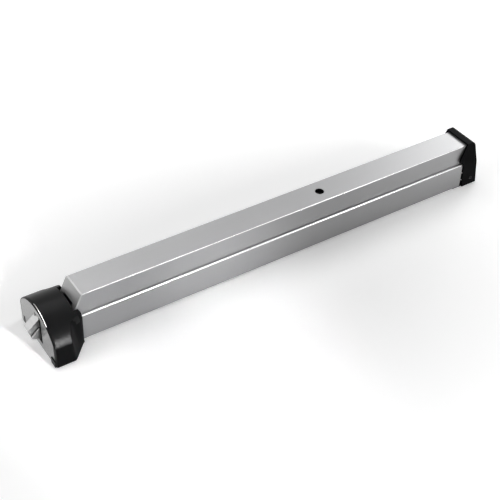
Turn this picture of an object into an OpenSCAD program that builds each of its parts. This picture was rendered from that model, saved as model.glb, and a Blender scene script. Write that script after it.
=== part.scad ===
// Rim exit device: a push pad in a rail, a latch head at one end, an end cap at the other.
// The device lies on its back. X runs along the bar from the latch, Z points out of the door
// and z = 0 is the door face. The origin is the centre of the four head screws on the door face.
// The modules draw in bar coordinates, where x = 0 is the outer face of the latch end plate.

/* [Overall] */
// Length from the latch end plate to the outer end of the end cap
overall_l = 820; // [680:5:1060]
// How far the pad moves when it is pressed
push_travel = 13; // [9:0.5:13.5]
// Height of the pad's top face above the door
pad_top = 83.5; // [83:0.5:87]
// Thickness of the plates that lie on the door
base_t = 2; // [1.5:0.1:2.5]

/* [Rail] */
// Width of the rail
rail_w = 56.5; // [55.5:0.5:60]
// Height of the rail's top ledge above the door
rail_top = 48; // [47.5:0.5:49]
// Thickness of the rail's side walls
rail_wall = 2; // [1.6:0.1:2.2]
// Thickness of the rail's floor
rail_floor = 2.5; // [2:0.1:2.6]
// Rounding of the rail's outer top edges
rail_round = 2.2; // [0.5:0.1:2.4]
// Thickness of the inward lips along the rail's mouth
lip_t = 2.5; // [2:0.1:3]
// Side gap between the pad and the rail's lips
lip_gap = 0.6; // [0.4:0.1:0.8]
// Start of the rail, measured from the latch end plate
rail_x0 = 46; // [46:0.5:48]
// Length of the end cap beyond the rail's end
cap_reach = 36; // [34:1:44]

/* [Pad] */
// Width of the push pad
pad_w = 48; // [46:0.5:48.5]
// Wall thickness of the push pad
pad_wall = 2.5; // [2:0.1:2.8]
// Angle of the slanted pad end, from upright
end_tilt = 25.6; // [20:0.2:28]
// Place of the slanted end along the bar, at the height of end_ref
end_x = 50.5; // [50:0.5:54]
// Height above the door at which end_x is taken
end_ref = 60; // [58:0.5:62]
// Thickness of the pad's end plate, along the bar
end_plate_t = 3; // [2:0.5:4]
// Height above the door of the end plate's two feet
end_leg_z = 51; // [50:0.5:53]
// Width of the notch between the end plate's feet
end_notch_w = 27; // [20:1:32]
// Height above the door of the top of that notch
end_notch_z = 64.3; // [62:0.1:65]
// Height of the retaining hooks along the pad's lower edge
hook_t = 3; // [2.4:0.1:3.2]

/* [Head] */
// Width of the latch head across the bar
head_w = 121; // [118:1:128]
// Height of the dome above the door
dome_top = 70.5; // [70:0.5:74]
// Height of the upright foot walls
foot_h = 36; // [32:0.5:40]
// Wall thickness of the head cover
cover_t = 2.2; // [1.8:0.1:2.6]
// Full length of the cover along the bar
cover_l = 58; // [57.5:0.5:60]
// Length of the cover at full width
cover_full_l = 30; // [28:0.5:31]
// Width of the cover's neck round the rail
neck_w = 65; // [63:0.5:68]
// Lean of the two slanted rear faces of the cover
rear_draft = 2.5; // [1:0.5:6]
// Rounding between the neck's sides and its top
neck_round = 9; // [6:0.5:12]
// How far the end plate's top edge is set in from the cover's outline
plate_in = 2; // [2:0.1:2.4]
// How far the end plate's upright sides are set in from the cover's outline
plate_side_in = 5.5; // [4:0.1:6.5]
// Start of the slot that the pad's end works in
slot_x0 = 46.5; // [45.5:0.5:47]
// Side gap between that slot and the pad
slot_gap = 4.6; // [0.8:0.1:5]
// Thickness of the end plate that the latch comes through
flange_t = 2.5; // [2:0.1:3]
// Distance along the bar between the two rows of head screws
bolt_dx = 26; // [24:0.5:28]
// Distance across the bar between the head screws
bolt_dy = 76; // [72:1:80]
// Distance from the end plate's outer face to the first row of head screws
bolt_x0 = 11; // [10:0.5:12]
// Radius of the head screw holes
bolt_r = 3.3; // [2.6:0.1:3.6]

/* [Latch] */
// Distance of the latch pivot behind the end plate's outer face
latch_px = 11; // [11:0.5:12]
// Height of the latch pivot above the door
latch_pz = 56; // [56:0.5:57]
// Distance of the latch nose from the pivot
latch_nose_r = 45.5; // [44.5:0.5:46]
// Width of the main latch
latch_w = 15; // [14.5:0.5:15]
// Width of the deadlatch beside it
dead_w = 2.6; // [2.4:0.1:3]
// Gap between the main latch and the deadlatch, filled by a liner
dead_gap = 1.6; // [1.4:0.1:2.2]
// Distance of the link pin from the latch pivot
latch_arm = 17; // [16:0.5:17]
// Radius of the latch pivot pin
latch_pin_r = 2.5; // [2:0.1:2.6]

/* [Linkage] */
// Places of the two bell cranks along the bar
crank_x = [168, 640];
// Height of the crank pivots above the door
crank_z = 20; // [19.5:0.1:20.5]
// Length of the crank arms that carry the pad
arm_a = 26; // [25:0.5:27]
// Length of the crank arms that move the connecting bar
arm_b = 21; // [20.5:0.1:21.5]
// Radius of the crank pivot pins
pivot_r = 3; // [2.4:0.1:3]
// Width of the connecting bar
bar_w = 16; // [15.5:0.5:16.5]
// Thickness of the connecting bar
bar_t = 3; // [2.5:0.1:3.2]
// Gap between the cheeks of each bracket and hanger
cheek_gap = 18; // [18:0.5:20]
// Sheet thickness of the brackets and hangers
sheet_t = 2; // [1.6:0.1:2.4]
// Place of the return spring's fixed end along the bar
spring_x = 300; // [290:1:310]
// Length of the return spring with the pad at rest
spring_l = 50; // [44:1:56]
// Places of the nylon bar guides along the bar
guide_x = [110, 540];

/* [Dogging] */
// Place of the dogging screw along the bar
dog_x = 496; // [470:1:500]
// Radius of the hole in the pad's top for the dogging screw
dog_hole_r = 7.4; // [7:0.1:8]
// Radius of the dogging screw's shank
dog_shank_r = 4; // [3.5:0.1:4]
// Size across the flats of the hexagonal socket
dog_hex = 6; // [5:0.5:7]
// Length of the cross bar at the shank's foot
dog_bar_l = 22; // [20:0.5:23]
// Depth of the dogging screw's head below the pad's top
dog_sink = 6; // [3:0.5:7]

/* [End cap] */
// Height of the end cap above the door
cap_top = 87.5; // [87:0.5:91]
// Width of the end cap at the door
cap_w = 61; // [60:0.5:64]
// Width of the end cap across its top
cap_top_w = 53.6; // [53:0.2:57]
// Wall thickness of the end cap
cap_t = 2.2; // [1.8:0.1:2.4]
// Distance across the bar between the two tail screws
tail_dy = 30; // [26:1:34]
// Radius of the tail screw holes
tail_r = 2.75; // [2.2:0.05:3]

/* [Hidden] */

$fn = 64;
eps = 0.01;
big = 400;          // longer than any cut needs
play = 0.1;         // radial play of screws and rivets in their holes
pin_fit = 0.05;     // radial play of a running pin in its bore
slide = 0.3;        // gap beside a sliding face
seam = 0.15;        // joint line between two fitted pieces

steel = [0.72, 0.73, 0.75];
zinc = [0.78, 0.78, 0.76];
satin = [0.66, 0.67, 0.69];
black = [0.08, 0.08, 0.09];
nylon = [0.93, 0.92, 0.88];
rubber = [0.15, 0.15, 0.15];
brass = [0.75, 0.62, 0.35];

// Rail and pad levels
floor_z = base_t + rail_floor;
rail_in = rail_w - 2 * rail_wall;
rail_x1 = overall_l - cap_reach;
lip_z = rail_top - lip_t;
pad_in_w = pad_w - 2 * pad_wall;
pad_in_z = pad_top - pad_wall;
hook_z = lip_z - slide - hook_t;
hook_w = rail_in - 2 * 0.35;
ledge_t = 2.3;
ledge_in = 2;
ledge_z = pad_in_z - sheet_t - 0.5 - 0.2;
end_slope = tan(end_tilt);
pad_x1 = rail_x1 + 9;
plug_t = 3;

// Dome of the latch head: a circle through the tops of both foot walls and the dome's top
dome_r = (pow(head_w / 2, 2) + pow(dome_top - foot_h, 2)) / (2 * (dome_top - foot_h));
dome_c = dome_top - dome_r;
bezel_in = 1.2;
bezel_l = 6;
rim_t = 1.4;
rim_back = 0.4;
rear_dx = cover_l - 2.6 - cover_full_l;
rear_dy = (head_w - neck_w) / 2;
rear_ang = atan2(-rear_dy, rear_dx);
slot_w = pad_w + 2 * slot_gap;
neck_cy = neck_w / 2 - neck_round;
neck_cz = dome_c + sqrt(pow(dome_r - neck_round, 2) - pow(neck_cy, 2));
arm_z0 = rail_top + 4;
arm_z1 = arm_z0 + 12.5;
arm_back = 5;
lug_in = 45;
lug_out = head_w / 2 - 1.5;
lug_h = 11;
lug_far = 50;
lug_far_h = 14;
lug_reach = 1.6;
bolt_cx = bolt_x0 + bolt_dx / 2;
tongue_w = rail_in - 2;
tongue_x1 = rail_x0 + 62;

// Swing of the cranks and the latch, both even about the middle of the stroke
crank_half = asin(push_travel / 2 / arm_a);
bar_travel = push_travel * arm_b / arm_a;
latch_half = asin(bar_travel / 2 / latch_arm);
bar_z = crank_z + arm_b;
bar_x0 = 26;
bar_x1 = crank_x[1] + 26;
link_pin_r = 2;
link_x = latch_px - latch_arm * sin(latch_half);
link_z = latch_pz - latch_arm * cos(latch_half);
link_rise = latch_arm * (1 - cos(latch_half));
link_y = 2.5;
link_w = 4;
link_slot = link_w + 1;
link_r = 4.6;
tip_r = 3.5;
crank_t = 6;
cheek_y = cheek_gap / 2;

// Latch profile, side view
latch_y0 = link_y - latch_w / 2;
latch_hub_r = 6.5;
bevel_top = 51;
nose_x = -16;
win_w = 2 * (latch_w - (latch_w / 2 - link_y) + 0.6);
win_z0 = latch_pz - latch_nose_r + 0.3;
win_z1 = 50.5;
dead_y0 = latch_y0 - dead_gap - dead_w;
win_y0 = dead_y0 - 7.5;
win_y1 = link_y + 1.3;
win_z2 = latch_pz + 3.5;
ear_gap = 27;
ear_t = 2;

hub_x = 36;
hub_r = 7.2;
hub_flange_r = 9.5;
boss_r = 6;

spring_z = 29;
spring_r = 4.7;
spring_wire = 0.6;
spring_turns = 11;
rod_r = 3;
tab_t = 3;

bumper_t = 2.5;
hanger_foot = floor_z + bumper_t + push_travel + 0.3;
hanger_x0 = 14;
hanger_x1 = 38;
hanger_flange = sheet_t + 0.5;

dog_head_r = 6.2;
dog_foot_z = hanger_foot + 3.7;
dog_foot_t = 4;
dog_foot_w = 8;
catch_t = 2.5;
catch_z = dog_foot_z - 2.5 - catch_t;
cup_z = 68;
cup_floor = 2;
clip_t = 1.2;

cap_x0 = rail_x1 + 4.5;
cap_slant_x = -10.5;
cap_slant_z = 55.5;
cap_shoulder = 47.5;
tail_x = overall_l - 20;
cap_screw_x = overall_l - 14;
cap_screw_z = 13;
bracket_w = cap_w - 2 * cap_t - 1;
tab_h = 19;
mark_x = guide_x[1] + 58;
mark_z = floor_z + 11.5;

// Moves the bar coordinates to the part's own frame
module placed() translate([-bolt_cx, 0, 0]) children();
// Extrudes a (y, z) outline along X
module along_x(l) rotate([90, 0, 90]) linear_extrude(l) children();
// Extrudes an (x, z) outline across the bar, from y0 to y1
module across(y0, y1) translate([0, y1, 0]) rotate([90, 0, 0]) linear_extrude(y1 - y0) children();
// Round bar across the bar axis
module cross_pin(x, z, r, y0, y1) translate([x, y1, z]) rotate([90, 0, 0]) cylinder(r = r, h = y1 - y0);
module upright(x, y, z0, z1, r) translate([x, y, z0]) cylinder(r = r, h = z1 - z0);
// Box from one corner to the other
module box(a, b) translate(a) cube([b[0] - a[0], b[1] - a[1], b[2] - a[2]]);
// Straight web between two points of an outline
module web(p, q, w) {
    d = q - p;
    translate(p) rotate(atan2(d[1], d[0])) translate([0, -w / 2]) square([norm(d), w]);
}
// Pan head screw or rivet with its shank down to z0
module fastener(x, y, z0, z1, r, head_r, head_t) {
    upright(x, y, z0, z1 + eps, r);
    upright(x, y, z1, z1 + head_t, head_r);
}

// Wire swept along a path; ref is a direction that the path never follows
function unit(v) = v / norm(v);
function tangent(p, i) = unit(p[min(i + 1, len(p) - 1)] - p[max(i - 1, 0)]);
function ring(p, i, r, ref, n) =
    let (t = tangent(p, i), u = unit(cross(t, ref)), v = cross(t, u))
    [for (k = [0:n - 1]) p[i] + r * (cos(360 * k / n) * u + sin(360 * k / n) * v)];
module wire(p, r, ref, n = 6) {
    m = len(p);
    pts = [for (i = [0:m - 1]) each ring(p, i, r, ref, n)];
    sides = [for (i = [0:m - 2], k = [0:n - 1])
        let (a = i * n + k, b = i * n + (k + 1) % n) each [[a, a + n, b], [b, a + n, b + n]]];
    caps = [for (k = [1:n - 2]) each [[0, k, k + 1], [(m - 1) * n, (m - 1) * n + k + 1, (m - 1) * n + k]]];
    polyhedron(points = pts, faces = concat(sides, caps), convexity = 10);
}

// Head

module dome_profile(i = 0) intersection() {
    translate([0, dome_c]) circle(r = dome_r - i, $fn = 128);
    translate([i - head_w / 2, 0]) square([head_w - 2 * i, dome_top + 1]);
}

// Neck section: upright sides, and corners that run tangent into the dome
module neck_profile(i) {
    k = 0.4;
    translate([i - neck_w / 2, -1]) square([neck_w - 2 * i, neck_cz + 1]);
    for (s = [-1, 1]) translate([s * neck_cy, neck_cz]) circle(r = neck_round - i);
    polygon([[-neck_cy, 0], [neck_cy, 0], [neck_cy, neck_cz],
        [neck_cy * (1 + k), neck_cz + k * (neck_cz - dome_c)],
        [-neck_cy * (1 + k), neck_cz + k * (neck_cz - dome_c)], [-neck_cy, neck_cz]]);
}

// Everything behind one slanted rear face, set in by i
module rear_cut(i) translate([cover_full_l, head_w / 2, 0]) rotate([0, 0, rear_ang])
    rotate([rear_draft, 0, 0]) translate([-big / 2, -i, -big / 2]) cube([big, big, big]);

// Outer form of the cover, or its hollow when i is the wall
module head_form(i, x0, x1) intersection() {
    translate([x0, 0, 0]) along_x(x1 - x0) dome_profile(i);
    across(-head_w, head_w) polygon([[x0, -1], [cover_l - i, -1], [cover_l - i, arm_z0 - i / 2],
        [cover_l - arm_back * 0.3 - i, (arm_z0 + arm_z1) / 2 - i / 2],
            [cover_l - arm_back - i, arm_z1 - i / 2],
        [cover_l - arm_back - i, dome_top + 2], [x0, dome_top + 2]]);
    union() {
        translate([x0, 0, 0]) along_x(x1 - x0) neck_profile(i);
        difference() {
            box([x0, -head_w, -1], [x1, head_w, dome_top + 2]);
            rear_cut(i);
            mirror([0, 1, 0]) rear_cut(i);
        }
    }
}

module base_outline() {
    in = cover_t + 0.5;
    edge = head_w / 2 - in;
    neck = neck_w / 2 - in;
    slope = rear_dy / rear_dx;
    x_in = cover_full_l - in * 1.2;
    polygon([[0, -lug_in + 0.5], [bezel_l + 1.5, -lug_in + 0.5], [bezel_l + 1.5, -edge], [x_in, -edge],
        [x_in + (edge - neck) / slope, -neck], [x_in + (edge - neck) / slope, neck], [x_in, edge],
        [bezel_l + 1.5, edge], [bezel_l + 1.5, lug_in - 0.5], [0, lug_in - 0.5]]);
}

// Outline of the end plate, grown by g
module plate_outline(g = 0) intersection() {
    dome_profile(plate_in - g);
    translate([plate_side_in - g - head_w / 2, -1]) square([head_w - 2 * (plate_side_in - g), dome_top + 1]);
}

module head_chassis() color(zinc) difference() {
    union() {
        linear_extrude(base_t) base_outline();
        box([rail_x0 - 6, -tongue_w / 2, 0], [tongue_x1, tongue_w / 2, base_t]);
        along_x(flange_t) plate_outline();
    }
    box([-1, -win_w / 2, win_z0], [flange_t + 1, win_w / 2, win_z1]);
    box([-1, win_y0, win_z0], [flange_t + 1, win_y1, win_z2]);
    box([-1, -head_w, -1], [flange_t + 1, 0.5 - lug_in, lug_h + 0.5]);
    box([-1, lug_in - 0.5, -1], [flange_t + 1, lug_far + 0.5, lug_far_h + 0.5]);
    for (s = [-1, 1]) {
        for (k = [0, 1]) upright(bolt_x0 + k * bolt_dx, s * bolt_dy / 2, -1, base_t + 1, bolt_r);
        upright(19, s * 9, -1, base_t + 1, 1.6 + play);
        upright(hub_x, s * 14.5, -1, base_t + 1, 1.6 + play);
        upright(tongue_x1 - 10, s * 14, -1, base_t + 1, 2 + play);
        upright(16, s * (head_w / 2 - cover_t - 7), -1, base_t + 1, 1.2 + play);
    }
    upright(hub_x, 0, -1, base_t + 1, hub_r + play);
}

// Front rim of the cover, round the end plate's edge
module cover_rim() difference() {
    along_x(flange_t + rim_t) dome_profile(bezel_in);
    translate([-1, 0, 0]) along_x(flange_t + rim_t + 2) difference() {
        plate_outline(seam);
    }
    translate([-1, 0, 0]) along_x(1 + rim_back) square([2 * head_w, 3 * dome_top], center = true);
}

module head_cover() color(black) {
    cover_rim();
    cover_shell();
}

// Hooks of the cover: the near one stands out of the end plate, the far one ends flush in a notch of it
module lugs() {
    box([-lug_reach, -lug_out, 0], [bezel_l + 1, -lug_in, lug_h]);
    box([0, lug_in, 0], [bezel_l + 1, lug_far, lug_far_h]);
    box([flange_t + 0.2, lug_in, 0], [bezel_l + 1, lug_out, lug_far_h]);
}

module cover_shell() difference() {
    union() {
        head_form(0, flange_t + 0.2, cover_l + 1);
        lugs();
    }
    difference() {
        head_form(cover_t, -1, cover_l);
        lugs();
    }
    box([slot_x0, -slot_w / 2, rail_top], [cover_l + 2, slot_w / 2, dome_top + 2]);
    box([rail_x0 - 1, -rail_w / 2 - 0.4, -1], [cover_l + 2, rail_w / 2 + 0.4, rail_top + 0.4]);
}

module cover_clips() color(steel) for (s = [-1, 1]) scale([1, s, 1]) {
    wall = head_w / 2 - cover_t - 0.3;
    box([11, wall - 9, base_t], [21, wall, base_t + 1]);
    box([11, wall - 1, base_t], [21, wall, base_t + 18]);
    upright(16, head_w / 2 - cover_t - 7, 0, base_t + 1 + eps, 1.2);
    upright(16, head_w / 2 - cover_t - 7, base_t + 1, base_t + 2, 2.2);
}

module latch_frame() color(steel) difference() {
    union() {
        box([4, -ear_gap / 2 - ear_t, base_t], [24, ear_gap / 2 + ear_t, base_t + 2]);
        for (s = [-1, 1]) scale([1, s, 1]) across(ear_gap / 2, ear_gap / 2 + ear_t)
            polygon([[4, base_t], [24, base_t], [24, 40], [latch_px + 7, latch_pz + 7], [4, latch_pz + 7]]);
    }
    cross_pin(latch_px, latch_pz, latch_pin_r + pin_fit, -ear_gap, ear_gap);
    for (s = [-1, 1]) upright(19, s * 9, 0, base_t + 3, 1.6 + play);
}

module latch_frame_rivets() color(steel) for (s = [-1, 1]) fastener(19, s * 9, 0, base_t + 2, 1.6, 3, 1.5);

module latch_pin() color(steel) {
    y1 = ear_gap / 2 + ear_t;
    difference() {
        cross_pin(latch_px, latch_pz, latch_pin_r, -y1 - 1, y1 + 1.8);
        difference() {
            cross_pin(latch_px, latch_pz, latch_pin_r + 1, y1 + 0.15, y1 + 1.15);
            cross_pin(latch_px, latch_pz, latch_pin_r - 0.5, y1, y1 + 2);
        }
    }
    cross_pin(latch_px, latch_pz, latch_pin_r + 1.5, -y1 - 1.6, -y1 - 0.1);
}

module latch_pin_clip() color(steel) {
    y1 = ear_gap / 2 + ear_t;
    difference() {
        cross_pin(latch_px, latch_pz, latch_pin_r + 2, y1 + 0.2, y1 + 1.1);
        cross_pin(latch_px, latch_pz, latch_pin_r - 0.45, y1, y1 + 2);
        box([latch_px - 1.2, y1, latch_pz - 10], [latch_px + 1.2, y1 + 2, latch_pz]);
    }
}

// Torsion spring round the latch pin on one side, with a leg on the frame and one on the latch
module torsion_spring(y0, dir) {
    r = latch_pin_r + 1.8;
    n = 12;
    turns = 1.5;
    coil = [for (i = [0:n * turns]) let (a = 360 * i / n)
        [latch_px + r * cos(a), y0 + dir * 1.3 * i / n, latch_pz + r * sin(a)]];
    leg_a = [[latch_px + r, y0, latch_pz - 18], [latch_px + r, y0, latch_pz - 4]];
    leg_b = [[latch_px - r, y0 + dir * 1.3 * turns, latch_pz - 4],
        [latch_px - r, y0 + dir * 1.3 * turns, latch_pz - 12]];
    color(steel) wire(concat(leg_a, coil, leg_b), 0.45, [0, 1, 0]);
}
module latch_spring() torsion_spring(link_y + latch_w / 2 + 0.9, 1);
module deadlatch_spring() torsion_spring(dead_y0 - 0.9, -1);

// Plastic guide beside the latch, in the near part of the end plate's window
module latch_guide() color(black) {
    y1 = dead_y0 - 0.4;
    box([0.3, win_y0 + seam, win_z0 + 0.2], [flange_t + 1.3, y1, win_z2 - 0.2]);
    box([flange_t + seam, win_y0 - 2.5, win_z0 - 2], [flange_t + 1.3, y1, win_z2 + 1.5]);
}

module hub_retainer() color(steel) difference() {
    union() {
        box([hub_x - 7, -18, base_t + 2.4], [hub_x + 7, 18, base_t + 3.9]);
        for (s = [-1, 1]) scale([1, s, 1]) box([hub_x - 7, hub_flange_r + 0.5, base_t],
            [hub_x + 7, 18, base_t + 3]);
    }
    upright(hub_x, 0, 0, base_t + 5, boss_r + 0.2);
    for (s = [-1, 1]) upright(hub_x, s * 14.5, 0, base_t + 5, 1.6 + play);
}

module hub_rivets() color(steel) for (s = [-1, 1])
    fastener(hub_x, s * 14.5, 0, base_t + 3.9, 1.6, 2.8, 1.4);

module trim_hub() color(brass) difference() {
    union() {
        upright(hub_x, 0, 0, base_t + 0.2, hub_r);
        upright(hub_x, 0, base_t + 0.15, base_t + 2.2, hub_flange_r);
        upright(hub_x, 0, base_t + 2, base_t + 7, boss_r);
    }
    box([hub_x - 5, -1.4, -1], [hub_x + 5, 1.4, base_t + 4]);
    box([hub_x - 1.4, -5, -1], [hub_x + 1.4, 5, base_t + 4]);
}

// Rail

module rail_section() difference() {
    union() {
        translate([-rail_w / 2, base_t]) square([rail_w, rail_top - base_t - rail_round]);
        translate([rail_round - rail_w / 2, base_t]) square([rail_w - 2 * rail_round, rail_top - base_t]);
        for (s = [-1, 1]) translate([s * (rail_w / 2 - rail_round), rail_top - rail_round])
            circle(r = rail_round);
    }
    translate([-rail_in / 2, floor_z]) square([rail_in, lip_z - floor_z]);
    translate([-pad_w / 2 - lip_gap, lip_z - 1]) square([pad_w + 2 * lip_gap, lip_t + 2]);
}

module rail() color(satin) difference() {
    translate([rail_x0, 0, 0]) along_x(rail_x1 - rail_x0) rail_section();
    for (s = [-1, 1]) {
        upright(tongue_x1 - 10, s * 14, 0, floor_z + 1, 2 + play);
        upright(rail_x1 - 7, s * 14, 0, floor_z + 1, 2 + play);
        for (x = crank_x) upright(x - 13, s * 6, 0, floor_z + 1, 1.6 + play);
        for (x = guide_x) upright(x + s * 10, 0, 0, floor_z + 1, 1.6 + play);
        upright(dog_x + s * 23, 0, 0, floor_z + 1, 1.6 + play);
        upright(spring_x + 11, s * 6, 0, floor_z + 1, 1.6 + play);
    }
    cross_pin(mark_x, mark_z, 1.6 + play, -rail_w, rail_w);
}

module rail_screws() color(zinc) for (s = [-1, 1]) {
    fastener(tongue_x1 - 10, s * 14, 0, floor_z, 2, 3.8, 2);
    fastener(rail_x1 - 7, s * 14, 0, floor_z, 2, 3.8, 2);
}

module rail_side_rivets() color(satin) for (s = [-1, 1]) scale([1, s, 1]) {
    cross_pin(mark_x, mark_z, 1.6, rail_in / 2 - 1.2, rail_w / 2 + 0.1);
    cross_pin(mark_x, mark_z, 2.6, rail_in / 2 - 1.4, rail_in / 2 - eps);
}

// Linkage

module crank_bracket(x) color(steel) difference() {
    union() {
        box([x - 17, -cheek_y - sheet_t, floor_z], [x + 11, cheek_y + sheet_t, floor_z + sheet_t]);
        for (s = [-1, 1]) scale([1, s, 1]) box([x - 9, cheek_y, floor_z],
            [x + 9, cheek_y + sheet_t, crank_z + 7]);
    }
    cross_pin(x, crank_z, pivot_r + pin_fit, -cheek_gap, cheek_gap);
    for (s = [-1, 1]) upright(x - 13, s * 6, 0, floor_z + sheet_t + 1, 1.6 + play);
}
module crank_bracket_head() crank_bracket(crank_x[0]);
module crank_bracket_tail() crank_bracket(crank_x[1]);

module bracket_rivets() color(steel) for (x = crank_x, s = [-1, 1])
    fastener(x - 13, s * 6, base_t, floor_z + sheet_t, 1.6, 3, 1.4);

module pivot_pin(x) color(steel) {
    y1 = cheek_y + sheet_t;
    cross_pin(x, crank_z, pivot_r, -y1 - 1, y1 + 1.6);
    cross_pin(x, crank_z, pivot_r + 1.5, -y1 - 1.6, -y1 - 0.1);
}
module pivot_pin_head() pivot_pin(crank_x[0]);
module pivot_pin_tail() pivot_pin(crank_x[1]);

module bell_crank(x) color(zinc) {
    p = [x, crank_z];
    a = p + arm_a * [cos(crank_half), sin(crank_half)];
    b = p + arm_b * [-sin(crank_half), cos(crank_half)];
    difference() {
        across(-crank_t / 2, crank_t / 2) {
            translate(p) circle(r = 6.5);
            translate(a) circle(r = 5);
            translate(b) circle(r = tip_r);
            web(p, a, 8);
            web(p, b, 5.4);
        }
        cross_pin(p[0], p[1], pivot_r + pin_fit, -crank_t, crank_t);
        cross_pin(a[0], a[1], 2.5 + pin_fit, -crank_t, crank_t);
    }
}
module bell_crank_head() bell_crank(crank_x[0]);
module bell_crank_tail() bell_crank(crank_x[1]);

module crank_pin(x) color(steel) {
    ax = x + arm_a * cos(crank_half);
    az = crank_z + arm_a * sin(crank_half);
    cross_pin(ax, az, 2.5, -cheek_y - sheet_t - 1, cheek_y + sheet_t + 1);
    for (s = [-1, 1]) scale([1, s, 1]) cross_pin(ax, az, 3, crank_t / 2 + 0.5, cheek_y + sheet_t + 1);
}
module crank_pin_head() crank_pin(crank_x[0]);
module crank_pin_tail() crank_pin(crank_x[1]);

module connecting_bar() color(zinc) difference() {
    union() {
        box([bar_x0, -bar_w / 2, bar_z - bar_t / 2], [bar_x1, bar_w / 2, bar_z + bar_t / 2]);
        box([spring_x - spring_l - tab_t, -7, spring_z - 7], [spring_x - spring_l, 7, bar_z]);
    }
    for (x = crank_x) {
        tip_x = x - arm_b * sin(crank_half);
        box([tip_x - tip_r - 0.2, -crank_t / 2 - 0.6, bar_z - 3],
            [tip_x + tip_r + 0.2, crank_t / 2 + 0.6, bar_z + 3]);
    }
    slot_r = dog_shank_r + 0.6;
    box([dog_x - bar_travel, -slot_r, bar_z - 3], [dog_x, slot_r, bar_z + 3]);
    upright(dog_x - bar_travel, 0, bar_z - 3, bar_z + 3, slot_r);
    upright(dog_x, 0, bar_z - 3, bar_z + 3, slot_r);
    translate([spring_x - spring_l - tab_t - 1, 0, spring_z]) rotate([0, 90, 0])
        cylinder(r = rod_r + 0.4, h = tab_t + 2);
    for (x = [31, 37]) upright(x, -3, bar_z - 3, bar_z + 3, 1.5 + play);
}

module latch_link() color(steel) {
    hole_z = link_z - link_rise / 2;
    top = bar_z + bar_t / 2;
    difference() {
        union() {
            across(link_y - link_w / 2, link_y + link_w / 2) {
                translate([link_x, hole_z]) circle(r = link_r);
                translate([link_x, hole_z - link_r]) square([bar_x0 - seam - link_x, 2 * link_r]);
                translate([link_x + 8, top]) square([40 - link_x - 8, 4.5]);
                translate([link_x + 8, hole_z]) square([bar_x0 - seam - link_x - 8, top + 4.5 - hole_z]);
            }
            box([28, -6, top], [40, 7.5, top + 2]);
        }
        cross_pin(link_x, hole_z - link_rise / 2, link_pin_r + 0.3, -1, 6);
        cross_pin(link_x, hole_z + link_rise / 2, link_pin_r + 0.3, -1, 6);
        box([link_x - link_pin_r - 0.3, -1, hole_z - link_rise / 2],
            [link_x + link_pin_r + 0.3, 6, hole_z + link_rise / 2]);
        for (x = [31, 37]) upright(x, -3, top - 1, top + 3, 1.5 + play);
    }
}

module link_rivets() color(steel) for (x = [31, 37])
    fastener(x, -3, bar_z - bar_t / 2, bar_z + bar_t / 2 + 2, 1.5, 2.6, 1.2);

module bar_guide(x) color(nylon) difference() {
    union() {
        box([x - 13, -9, floor_z], [x + 13, 9, floor_z + 3]);
        box([x - 6, -bar_w / 2 - 4, floor_z], [x + 6, bar_w / 2 + 4, bar_z + bar_t / 2 + 4]);
    }
    box([x - 7, -bar_w / 2 - slide, bar_z - bar_t / 2 - slide],
        [x + 7, bar_w / 2 + slide, bar_z + bar_t / 2 + slide]);
    for (s = [-1, 1]) upright(x + s * 10, 0, 0, floor_z + 4, 1.6 + play);
}
module bar_guide_head() bar_guide(guide_x[0]);
module bar_guide_tail() bar_guide(guide_x[1]);

module guide_screws() color(zinc) for (x = guide_x, s = [-1, 1])
    fastener(x + s * 10, 0, base_t, floor_z + 3, 1.6, 2.8, 1.6);

module spring_bracket() color(steel) difference() {
    union() {
        box([spring_x, -10, floor_z], [spring_x + tab_t, 10, spring_z + 8]);
        box([spring_x, -10, floor_z], [spring_x + 17, 10, floor_z + sheet_t]);
    }
    translate([spring_x - 1, 0, spring_z]) rotate([0, 90, 0])
        cylinder(r = rod_r - 0.5 + play, h = tab_t + 2);
    for (s = [-1, 1]) upright(spring_x + 11, s * 6, 0, floor_z + sheet_t + 1, 1.6 + play);
}

module spring_rivets() color(steel) for (s = [-1, 1])
    fastener(spring_x + 11, s * 6, base_t, floor_z + sheet_t, 1.6, 3, 1.4);

module spring_rod() color(steel) translate([0, 0, spring_z]) rotate([0, 90, 0]) {
    x0 = spring_x - spring_l - tab_t - 6;
    translate([0, 0, x0]) cylinder(r = rod_r, h = spring_x - seam - x0);
    translate([0, 0, spring_x - 1]) cylinder(r = rod_r - 0.5, h = tab_t + 2);
    translate([0, 0, spring_x + tab_t + seam]) cylinder(r = rod_r + 2, h = 2);
}

module return_spring() color(steel) {
    n = 10;
    l = spring_l - 2 * spring_wire - 0.4;
    wire([for (i = [0:n * spring_turns]) let (a = 360 * i / n)
        [spring_x - spring_wire - 0.2 - l * (1 - i / n / spring_turns), spring_r * cos(a),
            spring_z + spring_r * sin(a)]],
        spring_wire, [1, 0, 0]);
}

// Dogging

module dogging_catch() color(steel) difference() {
    union() {
        box([dog_x - 18, -14, catch_z], [dog_x + 18, 14, catch_z + catch_t]);
        for (s = [-1, 1]) translate([dog_x, 0, 0]) scale([s, 1, 1]) {
            box([16, -14, floor_z], [18, 14, catch_z + catch_t]);
            box([16, -14, floor_z], [28, 14, floor_z + 2]);
        }
    }
    box([dog_x - dog_bar_l / 2 - 1, -dog_foot_w / 2 - 0.8, catch_z - 1],
        [dog_x + dog_bar_l / 2 + 1, dog_foot_w / 2 + 0.8, catch_z + catch_t + 1]);
    for (s = [-1, 1]) upright(dog_x + s * 23, 0, 0, floor_z + 3, 1.6 + play);
}

module catch_rivets() color(steel) for (s = [-1, 1])
    fastener(dog_x + s * 23, 0, base_t, floor_z + 2, 1.6, 3, 1.4);

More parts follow.
